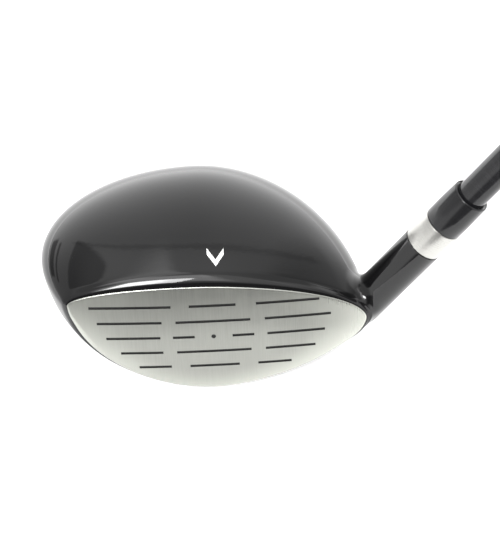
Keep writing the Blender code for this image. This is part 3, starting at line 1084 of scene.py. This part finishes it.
@dataclass
class SoleInsert:
    """Satin steel plate let into the underside."""

    form: HeadForm
    head: PaintedHead
    gap: float = 0.15
    wall: float = 1.3

    def build(self, steel: bpy.types.Material) -> bpy.types.Object:
        """Make the plate from the head's own skin."""
        form, head = self.form, self.head
        outer = form.outer_rings(2.7, 0.0, 200, 70)
        plate = add_piece("sole_insert", mesh_from_rings("sole_insert", outer), steel)
        inner = form.outer_rings(1.0, self.wall, 120, 50)
        combine(plate, add_piece("inner", mesh_from_rings("inner", inner)), Cut.REMOVE)
        low = form.bottom[1]
        half = (head.sole_half[0] - self.gap, head.sole_half[1] - self.gap)
        combine(plate, plan_prism(form, "plan", head.sole_centre, half, low - 14.0, low * 0.52),
                Cut.KEEP)
        trim_ground(plate)
        plate.data.materials.clear()
        plate.data.materials.append(steel)
        crease(plate, 35.0)
        return plate


@dataclass
class AimMark:
    """Small plain white chevron on the crown that points at the face."""

    form: HeadForm
    centre: tuple[float, float] = (1.7, 14.2)
    half_width: float = 2.6
    length: float = 6.4
    stroke: float = 2.3
    proud: float = 0.03

    def outline(self, side: int, steps: int = 14) -> list[list[tuple[float, float]]]:
        """Grid of plan points over one arm of the chevron."""
        rows = []
        for row in range(steps + 1):
            share = row / steps
            x = self.centre[0] + side * self.half_width * share
            nose = self.centre[1] - self.length / 2.0 + (self.length - self.stroke) * share
            rows.append([(x, nose + self.stroke * step / 4.0) for step in range(5)])
        return rows

    def build(self, skin: bpy.types.Object, white: bpy.types.Material) -> bpy.types.Object:
        """Lay the mark on the crown.

        Args:
            skin: the painted shell.
            white: the mark's paint.

        Returns:
            The finished piece.
        """
        shape = bmesh.new()
        for side in (-1, 1):
            rows = []
            for row in self.outline(side):
                points = self.form.world(np.array([(x, y, 60.0) for x, y in row]))
                verts = []
                for point in points:
                    done, hit, normal, _ = skin.ray_cast(Vector(point), Vector((0.0, 0.0, -1.0)))
                    spot = hit + normal * self.proud * MM if done else Vector(point)
                    verts.append(shape.verts.new(spot))
                rows.append(verts)
            for first, second in zip(rows, rows[1:]):
                for a, b, c, d in zip(first, first[1:], second[1:], second):
                    shape.faces.new((a, b, c, d))
        bmesh.ops.remove_doubles(shape, verts=shape.verts, dist=2e-6)
        bmesh.ops.recalc_face_normals(shape, faces=shape.faces)
        if sum(face.normal.z for face in shape.faces) < 0.0:
            bmesh.ops.reverse_faces(shape, faces=shape.faces)
        for face in shape.faces:
            face.smooth = True
        mesh = bpy.data.meshes.new("aim_mark")
        shape.to_mesh(mesh)
        shape.free()
        mark = add_piece("aim_mark", mesh, white)
        wall = mark.modifiers.new("wall", "SOLIDIFY")
        wall.thickness = 2.0 * self.proud * MM
        wall.offset = -1.0
        bake(mark)
        crease(mark, 50.0)
        return mark


# ---------------------------------------------------------------- neck, shaft and grip


@dataclass
class Neck:
    """Silver ring and black ferrule above the hosel."""

    line: ShaftLine
    start: float = 31.8
    ring_radius: float = 6.2
    ring_length: float = 9.8
    bond: float = 0.1
    ferrule_length: float = 13.4
    ferrule_radius: float = 6.15
    ferrule_top: float = 5.9
    bevel: float = 0.28
    bore: float = 4.8

    def build(self, silver: bpy.types.Material,
              plastic: bpy.types.Material) -> tuple[bpy.types.Object, bpy.types.Object]:
        """Make the ring and the ferrule.

        Args:
            silver: the ring's metal.
            plastic: the ferrule's plastic.

        Returns:
            The two pieces.
        """
        low, high = self.start, self.start + self.ring_length
        radius = self.ring_radius
        ring = rounded([(self.bore, high), (radius, high), (radius, low), (self.bore, low)], 0.22)
        low, high = high + self.bond, high + self.bond + self.ferrule_length
        nose = self.ferrule_top - self.bevel
        sleeve = rounded([
            (self.bore, high - 0.25), (nose - 0.15, high), (nose, high),
            (self.ferrule_top, high - self.bevel), (self.ferrule_radius, low + 5.0),
            (self.ferrule_radius, low), (self.bore, low)], 0.3)
        pieces = []
        for name, profile, finish in (("neck_ring", ring, silver),
                                      ("neck_ferrule", sleeve, plastic)):
            piece = add_piece(name, self.line.turned(name, profile, 128), finish)
            crease(piece, 35.0)
            pieces.append(piece)
        return pieces[0], pieces[1]


@dataclass
class Shaft:
    """Tapered lacquered tube."""

    line: ShaftLine
    tip_radius: float = 4.7
    tip_straight: float = 92.0
    butt_radius: float = 7.62
    wall: float = 1.15
    start: float = 9.2
    cap_length: float = 5.0
    grip_length: float = 268.0

    def build(self, lacquer: bpy.types.Material) -> bpy.types.Object:
        """Make the shaft."""
        end = self.line.butt - self.cap_length - 0.1
        taper_end = self.line.butt - self.grip_length - 8.0
        outer = [(self.tip_radius + (self.butt_radius - self.tip_radius) * share,
                  self.tip_straight + (taper_end - self.tip_straight) * share)
                 for share in np.linspace(1.0, 0.0, 24)]
        tip_bore, butt_bore = self.tip_radius - self.wall, self.butt_radius - self.wall
        profile = [(self.butt_radius, end)] + outer
        profile += [(self.tip_radius, 60.0), (self.tip_radius, self.start + 0.4),
                    (self.tip_radius - 0.4, self.start), (tip_bore, self.start),
                    (tip_bore, self.tip_straight), (butt_bore, taper_end), (butt_bore, end)]
        piece = add_piece("shaft_tube", self.line.turned("shaft_tube", profile, 96), lacquer)
        crease(piece, 35.0)
        return piece


@dataclass
class Grip:
    """Moulded rubber sleeve with rows of raised tread, and its end cap."""

    line: ShaftLine
    length: float = 268.0
    cap_length: float = 5.0
    bore: float = 8.22
    mouth: float = 9.2
    bead: float = 0.5
    end: float = 13.4
    flange: float = 14.8
    vent: float = 1.0
    tread_height: float = 0.3
    around: int = 14
    rows: int = 58
    tread_length: float = 2.6
    tread_width: float = 1.44

    @property
    def start(self) -> float:
        """Where the grip's mouth lies along the axis."""
        return self.line.butt - self.length

    @property
    def stop(self) -> float:
        """Where the sleeve ends below the cap."""
        return self.line.butt - self.cap_length - 0.1

    def sleeve_profile(self) -> Profile:
        """Half profile of the sleeve, flange first."""
        bead = self.mouth + self.bead
        middle = self.mouth + (self.end - self.mouth) * 0.42
        half = self.start + (self.stop - self.start) * 0.55
        corners: Profile = [
            (self.bore, self.stop), (self.flange, self.stop),
            (self.flange - 0.3, self.stop - 4.0), (self.end - self.tread_height, self.stop - 10.0),
            (middle - self.tread_height, half), (self.mouth - self.tread_height, self.start + 9.0),
            (bead, self.start + 6.0), (bead, self.start + 1.0), (bead - 0.7, self.start),
            (self.bore, self.start)]
        return rounded(corners, 1.2, 5)

    def tread_points(self) -> bpy.types.Mesh:
        """Points on the sleeve, each with the turn that lays its stud flat."""
        corners = sorted((height, radius) for radius, height in self.sleeve_profile()
                         if radius > self.bore + 0.2)
        heights = [height for height, _ in corners]
        radii = [radius for _, radius in corners]
        low, high = self.start + 14.0, self.stop - 16.0
        spots, turns = [], []
        for row in range(self.rows):
            height = low + (high - low) * row / (self.rows - 1)
            radius = float(np.interp(height, heights, radii))
            for column in range(self.around):
                angle = math.tau * (column + 0.5 * (row % 2)) / self.around
                spots.append((radius * math.cos(angle), radius * math.sin(angle), height))
                turns.append((0.0, 0.0, angle))
        mesh = bpy.data.meshes.new("tread_points")
        mesh.from_pydata((np.array(spots) * MM).tolist(), [], [])
        turn = mesh.attributes.new("turn", "FLOAT_VECTOR", "POINT")
        turn.data.foreach_set("vector", [part for parts in turns for part in parts])
        return mesh

    def build(self, rubber: bpy.types.Material,
              cap_rubber: bpy.types.Material) -> tuple[bpy.types.Object, bpy.types.Object]:
        """Make the sleeve with its tread, and the cap.

        Args:
            rubber: the sleeve's material.
            cap_rubber: the cap's material.

        Returns:
            The two pieces.
        """
        sleeve = add_piece("grip_moulding", self.line.turned(
            "grip_moulding", self.sleeve_profile(), 112), rubber)
        crease(sleeve, 35.0)
        tread = add_piece("tread", self.tread_points())
        stud = {"Segments": 10, "Rings": 6, "Radius": 0.5}
        tree = stamp_tree("grip_tread", "GeometryNodeMeshUVSphere", stud,
                          ("Height", "Width", "Length"), rubber, True)
        run_tree(tread, tree, {
            "Length": self.tread_length * MM, "Width": self.tread_width * MM,
            "Height": 2.0 * self.tread_height * MM})
        tread.data.transform(self.line.matrix())
        shape = bmesh.new()
        shape.from_mesh(sleeve.data)
        shape.from_mesh(tread.data)
        shape.to_mesh(sleeve.data)
        shape.free()
        bpy.data.objects.remove(tread, do_unlink=True)
        top, low = self.line.butt, self.line.butt - self.cap_length
        corners: Profile = [
            (self.vent, top - 0.4), (self.vent + 0.5, top), (6.4, top), (6.8, top - 0.35),
            (7.4, top - 0.35), (7.8, top), (self.flange - 2.0, top), (self.flange, top - 2.0),
            (self.flange, low), (self.vent, low)]
        cap = add_piece("butt_cap", self.line.turned(
            "butt_cap", rounded(corners, 0.8, 5), 112), cap_rubber)
        crease(cap, 40.0)
        return sleeve, cap


# ---------------------------------------------------------------- studio


@dataclass(frozen=True)
class Panel:
    """One panel of the light tent: its edges in degrees, their blur and its strength."""

    turns: tuple[float, float]
    rises: tuple[float, float]
    soft: float
    gain: float

    def mask(self, turn: Sock, rise: Sock) -> Sock:
        """1 inside the panel and 0 outside.

        Args:
            turn: bearing in degrees.
            rise: elevation in degrees.

        Returns:
            The panel's share of a direction.
        """
        (left, right), (low, high), soft = self.turns, self.rises, self.soft
        mask = turn.ramp(left - soft, left + soft)
        mask = mask * (1.0 - turn.ramp(right - soft, right + soft))
        mask = mask * rise.ramp(low - soft, low + soft)
        return mask * (1.0 - rise.ramp(high - soft, high + soft))


@dataclass
class Studio:
    """Pale floor, soft light and the camera."""

    form: HeadForm
    azimuth: float = -1.7
    elevation: float = 48.2
    roll: float = -1.4
    focal: float = 1372.0
    offset: tuple[float, float, float] = (3.716, -271.786, 331.330)
    frame: tuple[int, int] = (500, 554)
    glow: float = 1.6
    table_front: float = 0.12
    sheet: float = 1.15
    open_level: float = 1.05
    backdrop: float = 3.45
    backdrop_turns: tuple[float, float] = (15.0, 66.0)
    backdrop_fall: float = 1.6
    side: float = 0.85
    side_turns: tuple[float, float] = (60.0, 75.0)
    side_rises: tuple[float, float] = (-4.0, 10.0)
    front: float = 0.45
    front_rises: tuple[float, float] = (40.0, 55.0)
    seam_spot: float = 0.356
    seam_width: tuple[float, float] = (0.003, 0.012)
    seam_depth: float = 0.30
    key_spot: tuple[float, float, float] = (-0.248, -0.865, 1.072)
    key_size: tuple[float, float] = (0.36, 0.50)
    key_watts: float = 8.0
    room: Panel = Panel((-38.0, 40.0), (-100.0, 31.0), 7.0, -0.78)
    shades: tuple[Panel, ...] = (
        Panel((43.0, 62.0), (24.0, 62.0), 5.0, 0.60),
        Panel((45.0, 64.0), (-20.0, 24.0), 5.0, 0.68),
        Panel((-66.0, -45.0), (36.0, 58.0), 1.0, 0.5),
        Panel((-64.0, -45.0), (4.0, 14.0), 0.8, 0.35),
        Panel((-66.0, -47.0), (18.0, 21.0), 0.8, 0.40),
        Panel((-125.0, -18.0), (69.0, 88.0), 5.0, 1.9),
        Panel((-140.0, -75.0), (50.0, 67.0), 4.0, 0.7),
        Panel((72.0, 117.0), (26.0, 46.0), 3.0, 0.35),
        Panel((76.0, 118.0), (46.0, 57.0), 3.0, 2.4))
    lamps: tuple[Panel, ...] = (
        Panel((-66.0, 10.0), (63.0, 78.0), 5.0, 3.4),
        Panel((-34.0, 8.0), (43.0, 63.0), 5.0, 2.9),
        Panel((5.0, 34.0), (37.0, 78.0), 5.0, 0.7),
        Panel((-27.0, -11.0), (38.0, 57.0), 3.0, 14.0),
        Panel((31.0, 60.0), (-12.0, 26.0), 3.0, 1.0),
        Panel((30.0, 60.0), (48.0, 60.0), 3.0, 0.8),
        Panel((52.0, 61.0), (26.0, 48.0), 2.0, 1.0))

    def floor(self) -> bpy.types.Object:
        """A large pale sheet just under the sole that glows as painted light, dimmer near the head
        and brighter further back.
        """
        shape = bmesh.new()
        size = Matrix.Diagonal((2.0, 1.5, 1.0, 1.0))
        place = Matrix.Translation((0.0, 1.5 - self.table_front, 0.0))
        bmesh.ops.create_grid(shape, x_segments=4, y_segments=4, size=1.0, matrix=place @ size)
        mesh = bpy.data.meshes.new("floor")
        shape.to_mesh(mesh)
        shape.free()
        made, g = start_surface("studio_floor")
        spot = g.place()
        cloud = g.noise(spot, 1.5, 2.0)
        tone = g.blend(cloud, (0.90, 0.90, 0.90, 1.0), (0.92, 0.92, 0.92, 1.0))
        # Painted light: the sheet's glow, dim near the head and brighter further back.
        far = g.split(spot)[1].ramp(0.12, 0.60)
        shine = g.blend(far, (0.22, 0.22, 0.22, 1.0), (1.0, 1.0, 1.0, 1.0))
        surface = new_surface(
            "studio_floor", {"Specular IOR Level": 0.1, "Emission Strength": self.glow},
            {"Base Color": tone, "Roughness": 0.8 + cloud * 0.1, "Emission Color": shine},
            g, made)
        floor = add_piece("floor", mesh, surface)
        floor.location.z = -0.0005
        return floor

    def world(self) -> None:
        """Light tent: bright backdrop, open and dark towards the room in front.

        Both bearings grow towards the heel; one starts at the back, the other in front.
        """
        world = bpy.data.worlds.new("tent")
        bpy.context.scene.world = world
        world.use_nodes = True
        g = Graph(world.node_tree)
        x, y, z = g.split(g.place("Generated"))
        degree = 180.0 / math.pi
        back = x.apply("ARCTAN2", y) * degree
        front = x.apply("ARCTAN2", -1.0 * y) * degree
        rise = z.apply("ARCSINE") * degree
        wide = back.apply("ABSOLUTE")
        middle = 1.0 - wide.ramp(*self.backdrop_turns)
        fall = 1.0 - z.apply("MAXIMUM", 0.0) ** self.backdrop_fall
        level = self.open_level + middle * fall * self.backdrop
        low = 1.0 - rise.ramp(*self.side_rises)
        level = level + self.side * wide.ramp(*self.side_turns) * low
        bow = y - x * x * 0.6
        near = 1.0 - bow.ramp(0.28, 0.40)
        toeward = 1.0 - x.ramp(0.05, 0.35)
        level = level + self.front * near * toeward * rise.ramp(*self.front_rises)
        for shade in self.shades:
            level = level * (1.0 + (shade.gain - 1.0) * shade.mask(back, rise))
        away = (bow - self.seam_spot).apply("ABSOLUTE")
        seam = (1.0 - away.ramp(*self.seam_width)) * z.ramp(0.5, 0.6)
        level = level * (1.0 - self.seam_depth * seam)
        level = level * (1.0 + self.room.gain * self.room.mask(front, rise))
        for lamp in self.lamps:
            level = level + lamp.gain * lamp.mask(front, rise)
        tent = g.node("ShaderNodeBackground", {}, {"Strength": level})
        plain = g.node("ShaderNodeBackground", {}, {"Strength": self.sheet})
        seen = g.out(g.node("ShaderNodeLightPath", {}, {}), "Is Camera Ray")
        both = g.node("ShaderNodeMixShader", {}, {0: seen, 1: g.out(tent), 2: g.out(plain)})
        g.node("ShaderNodeOutputWorld", {}, {"Surface": g.out(both)})

    def light(self) -> None:
        """One soft box aimed at the head."""
        lamp = bpy.data.lights.new("key_box", "AREA")
        lamp.shape = "RECTANGLE"
        lamp.size, lamp.size_y = self.key_size
        lamp.energy = self.key_watts
        made = bpy.data.objects.new("key_box", lamp)
        bpy.context.scene.collection.objects.link(made)
        made.location = self.key_spot
        aim = Vector((0.0, 0.02, 0.02)) - Vector(self.key_spot)
        made.rotation_euler = aim.to_track_quat("-Z", "Y").to_euler()

    def camera(self) -> None:
        """Camera in front of and above the head."""
        turn, rise, tilt = (math.radians(v) for v in (self.azimuth, self.elevation, self.roll))
        right = Vector((math.cos(turn), math.sin(turn), 0.0))
        back = Vector((math.sin(turn) * math.cos(rise), -math.cos(turn) * math.cos(rise),
                       math.sin(rise)))
        up = back.cross(right)
        across = right * math.cos(tilt) + up * math.sin(tilt)
        upward = up * math.cos(tilt) - right * math.sin(tilt)
        lens = bpy.data.cameras.new("camera")
        lens.sensor_width = 36.0
        lens.lens = self.focal / max(self.frame) * lens.sensor_width
        lens.clip_start, lens.clip_end = 0.01, 60.0
        made = bpy.data.objects.new("camera", lens)
        bpy.context.scene.collection.objects.link(made)
        place = Matrix((across, upward, back)).transposed().to_4x4()
        place.translation = Vector(self.form.world(np.array([self.offset]))[0])
        made.matrix_world = place
        bpy.context.scene.camera = made

    def build(self) -> None:
        """Set everything up."""
        self.floor()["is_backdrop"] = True
        self.world()
        self.light()
        self.camera()
        bpy.context.scene.view_settings.view_transform = "Standard"


# ---------------------------------------------------------------- assembly


def ride(piece: bpy.types.Object, slot: str, *nodes: str) -> None:
    """Tie a finished piece to the frame.

    Args:
        piece: the finished piece.
        slot: the record's material slot; not used.
        nodes: frame nodes that the piece stands for.
    """
    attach(piece, BODY)
    if nodes:
        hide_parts(*nodes)
    LOG.info("%s: %d faces", piece.name, len(piece.data.polygons))


def dress(frame: dict[str, Any], node: str, finish: bpy.types.Material) -> None:
    """Give a carried-over frame node its finish."""
    part = frame["nodes"][node]
    if part.material_slots:
        for entry in part.material_slots:
            entry.material = finish
    else:
        part.data.materials.append(finish)
    LOG.info("%s: dressed", node)


def corners() -> list[list[float]]:
    """The shown object's box as plain numbers."""
    return [list(corner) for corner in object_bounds()]


def main() -> None:
    """Build every piece in order."""
    logging.basicConfig(level=logging.INFO, format="%(name)s: %(message)s")
    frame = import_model()
    line = ShaftLine()
    form = HeadForm(line=line)
    lean = line.lean
    paint = GlossPaint().make()
    fill = GrainFinish("groove_fill", (0.004, 0.004, 0.004), (0.010, 0.010, 0.010), 0.55,
                       2500.0, 0.00003).make()
    white = GrainFinish("mark_white", (0.80, 0.80, 0.79), (0.88, 0.88, 0.87), 0.35,
                        2500.0, 0.00001).make()
    head = PaintedHead(form)
    shell = head.build(paint)
    mark = AimMark(form).build(shell, white)
    ride(shell, "black_paint", "body_casting", "crown_plate")
    ride(mark, "black_paint")
    face = SteelFace(form, ScoreLines(form)).build(BrushedFace().make(), fill)
    ride(face, "face_steel", "face_plate")
    sole = SoleInsert(form, head).build(SatinMetal().make())
    ride(sole, "sole_steel", "sole_plate")
    silver = SatinMetal("satin_silver", (0.53, 0.525, 0.50), 0.30, lean, True).make()
    plastic = ShaftLacquer("ferrule_black", (0.006, 0.006, 0.007), (0.010, 0.010, 0.011),
                           0.12, lean, 0.0).make()
    ring, ferrule = Neck(line).build(silver, plastic)
    ride(ring, "silver_ring", "trim_ring")
    ride(ferrule, "ferrule_plastic", "ferrule")
    ride(Shaft(line).build(ShaftLacquer(lean=lean).make()), "graphite_lacquer", "shaft")
    rubber = GrainFinish().make()
    cap_rubber = GrainFinish("cap_rubber", (0.022, 0.022, 0.023), (0.034, 0.034, 0.035), 0.6,
                             1400.0, 0.00006).make()
    sleeve, cap = Grip(line).build(rubber, cap_rubber)
    ride(sleeve, "grip_rubber", "grip_sleeve")
    ride(cap, "cap_rubber", "grip_cap")
    dress(frame, "hot_melt_pad", GrainFinish(
        "hot_melt", (0.62, 0.54, 0.34), (0.74, 0.66, 0.46), 0.5, 500.0, 0.0003).make())
    dress(frame, "tip_weight", SatinMetal("turned_brass", (0.66, 0.49, 0.21), 0.32, lean,
                                          True).make())
    dress(frame, "grip_tape", GrainFinish(
        "paper_tape", (0.55, 0.53, 0.47), (0.66, 0.64, 0.58), 0.8, 900.0, 0.0001).make())
    Studio(form).build()


if __name__ == "__main__":
    main()
